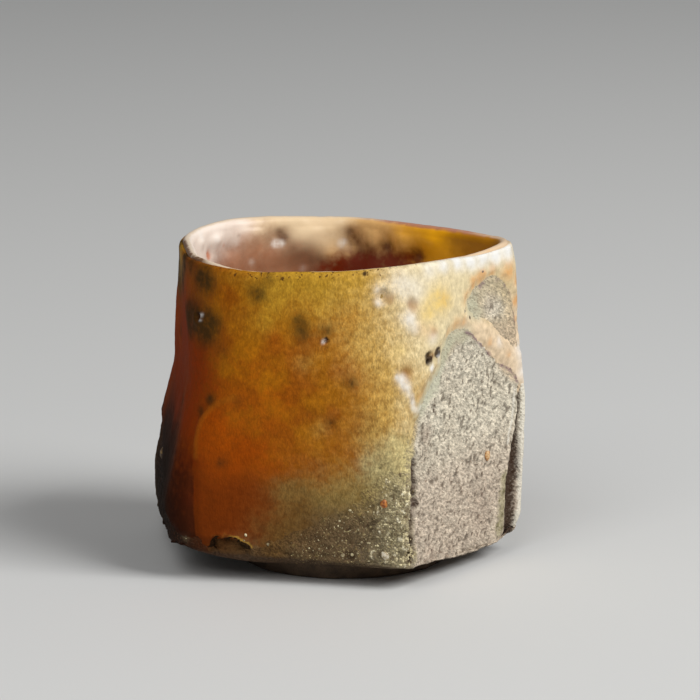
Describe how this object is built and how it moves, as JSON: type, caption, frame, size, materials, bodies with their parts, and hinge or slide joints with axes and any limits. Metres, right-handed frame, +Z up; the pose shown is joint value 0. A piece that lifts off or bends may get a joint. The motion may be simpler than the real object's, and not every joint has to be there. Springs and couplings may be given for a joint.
{
  "type": "sake cup",
  "caption": "Small faceted stoneware sake cup with wire-shaved flat sides, a soft lip, a low foot ring and a runny ash glaze that leaves part of the clay bare.",
  "frame": {"origin": "middle of the cup's outline, on the table that the foot stands on", "axes": "+Z up through the mouth; the broad glazed front side faces -Y and the sharp bare corner points to +X"},
  "size_m": [0.0664, 0.0566, 0.0572],
  "materials": {
    "stoneware": "rough bare wood-fired clay, gritty where the wire dragged",
    "foot_stoneware": "bare dark clay, wiped smooth",
    "ash_glaze": "satin amber ash glaze with iron spots, pits and a pale shoulder",
    "liner_glaze": "glossy rose and ochre glaze over finger dents",
    "feldspar": "half-melted feldspar"
  },
  "bodies": {
    "root": {"stoneware_body": "stoneware", "foot_ring": "foot_stoneware", "outer_glaze": "ash_glaze", "liner_glaze": "liner_glaze", "stone_in_right_side": "feldspar", "stone_in_left_side": "feldspar", "stone_at_lower_edge": "feldspar", "stone_in_front_side": "feldspar", "stone_in_back_side": "feldspar"}
  },
  "joints": []
}
